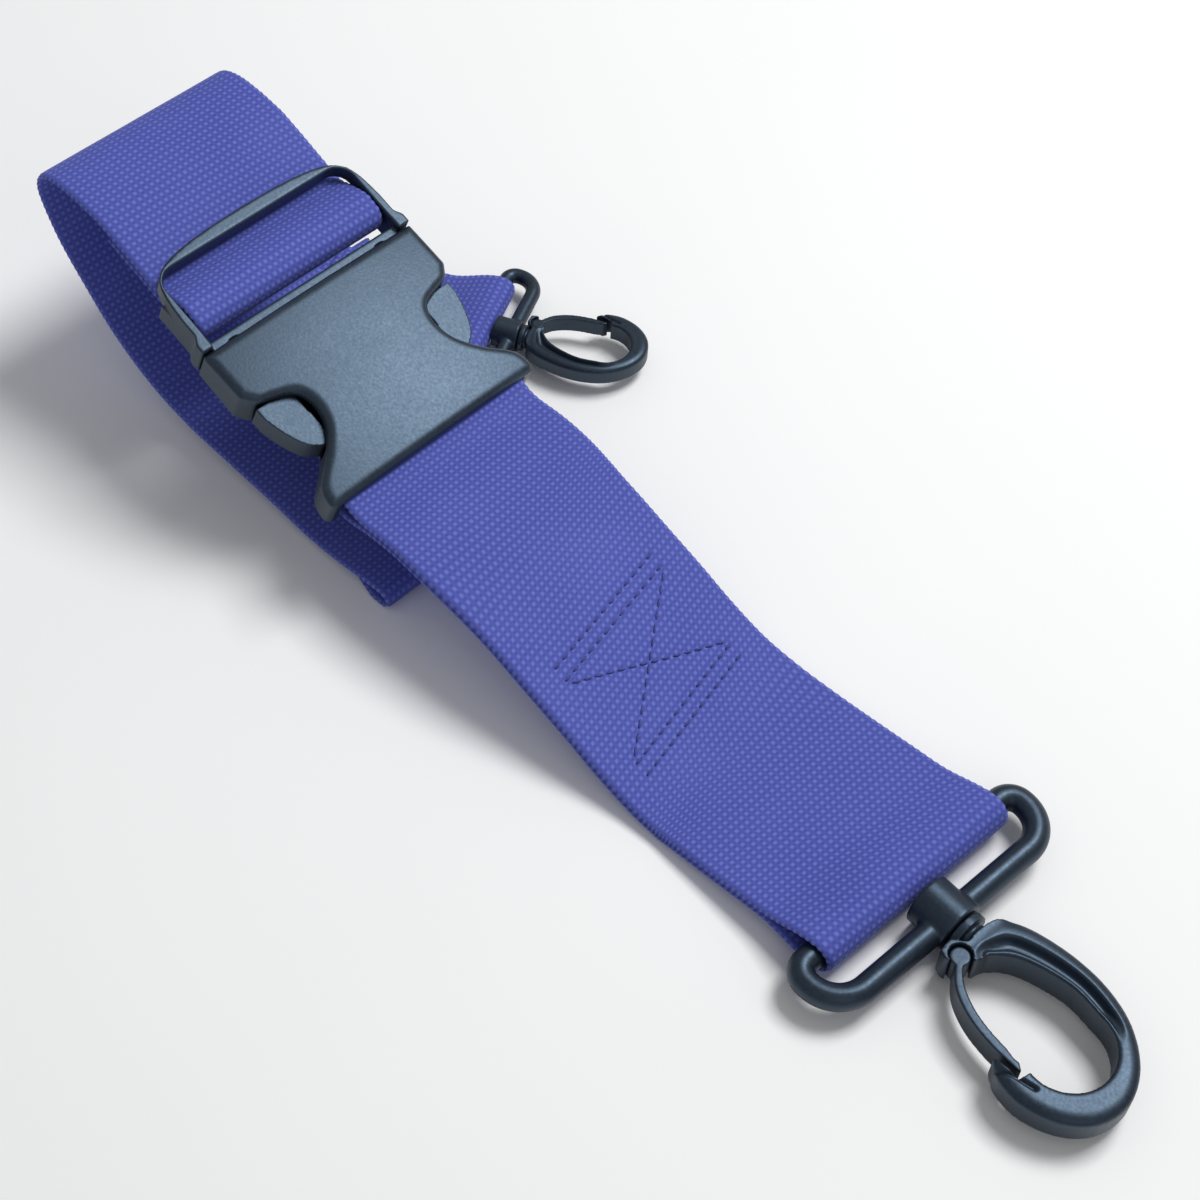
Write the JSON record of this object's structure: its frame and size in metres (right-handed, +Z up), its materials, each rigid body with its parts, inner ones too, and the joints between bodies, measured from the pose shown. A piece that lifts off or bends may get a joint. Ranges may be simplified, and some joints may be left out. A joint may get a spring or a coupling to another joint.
{
  "type": "gait belt",
  "caption": "Wide webbing belt with a side-release buckle and a swivel snap hook at each end, lying folded in a loop.",
  "frame": {"origin": "on the surface the belt lies on, below the buckle, in the middle of the flat run of webbing", "axes": "+X along the belt towards the front hook, +Y to the side the rear hook lies on, +Z up"},
  "size_m": [0.2847, 0.1008, 0.0536],
  "materials": {
    "buckle_plastic": "satin moulded plastic, dark blue-grey",
    "hook_plastic": "semi-gloss moulded plastic, blue-black",
    "webbing": "woven royal blue webbing",
    "thread": "dark blue sewing thread"
  },
  "bodies": {
    "front_strap": {"female_housing": "buckle_plastic", "front_buckle_webbing": "webbing", "front_hook_webbing": "webbing", "front_box_stitching": "thread"},
    "rear_strap": {"male_frame": "buckle_plastic", "rear_webbing": "webbing", "tail_hem_stitching": "thread", "rear_tab": "webbing", "rear_tab_stitching": "thread"},
    "left_arm": {"left_release_arm": "buckle_plastic"},
    "right_arm": {"right_release_arm": "buckle_plastic"},
    "front_loop_body": {"front_loop": "hook_plastic"},
    "front_hook_body": {"front_hook": "hook_plastic"},
    "front_gate_body": {"front_gate": "hook_plastic"},
    "rear_loop_body": {"rear_loop": "hook_plastic"},
    "rear_hook_body": {"rear_hook": "hook_plastic"},
    "rear_gate_body": {"rear_gate": "hook_plastic"}
  },
  "joints": [
    {"name": "buckle_release", "type": "slide", "parent": "front_strap", "child": "rear_strap", "axis": [-0.9336, 0, 0.3584], "range_m": [0, 0.045], "deforming": ["left_release_arm", "right_release_arm"]},
    {"name": "left_release", "type": "hinge", "parent": "rear_strap", "child": "left_arm", "pos_m": [-0.02941, -0.02, 0.03688], "axis": [0.3584, 0, 0.9336], "range_deg": [0, 7], "stiffness_Nm_per_rad": 0.3, "springref_deg": -5.73},
    {"name": "right_release", "type": "hinge", "parent": "rear_strap", "child": "right_arm", "pos_m": [-0.02941, 0.02, 0.03688], "axis": [-0.3584, 0, -0.9336], "range_deg": [0, 7], "stiffness_Nm_per_rad": 0.3, "springref_deg": -5.73},
    {"name": "front_loop_pivot", "type": "hinge", "parent": "front_strap", "child": "front_loop_body", "pos_m": [0.1377, 0, 0.0056], "axis": [0.0593, 0.9982, 0], "range_deg": [-80, 80]},
    {"name": "front_swivel", "type": "hinge", "parent": "front_loop_body", "child": "front_hook_body", "pos_m": [0.1377, 0, 0.0056], "axis": [0.9982, -0.0593, 0], "continuous": true},
    {"name": "front_gate_opening", "type": "hinge", "parent": "front_hook_body", "child": "front_gate_body", "pos_m": [0.15633, -0.00695, 0.0056], "axis": [0, 0, 1], "range_deg": [0, 18], "stiffness_Nm_per_rad": 0.05, "springref_deg": -5.73},
    {"name": "rear_loop_pivot", "type": "hinge", "parent": "rear_strap", "child": "rear_loop_body", "pos_m": [-0.0238, 0.0432, 0.00475], "axis": [-0.4226, 0.9063, 0], "range_deg": [-80, 0]},
    {"name": "rear_swivel", "type": "hinge", "parent": "rear_loop_body", "child": "rear_hook_body", "pos_m": [-0.0238, 0.0432, 0.00475], "axis": [0.9063, 0.4226, 0], "continuous": true},
    {"name": "rear_gate_opening", "type": "hinge", "parent": "rear_hook_body", "child": "rear_gate_body", "pos_m": [-0.01423, 0.05183, 0.00475], "axis": [0, 0, -1], "range_deg": [0, 18], "stiffness_Nm_per_rad": 0.05, "springref_deg": -5.73}
  ]
}
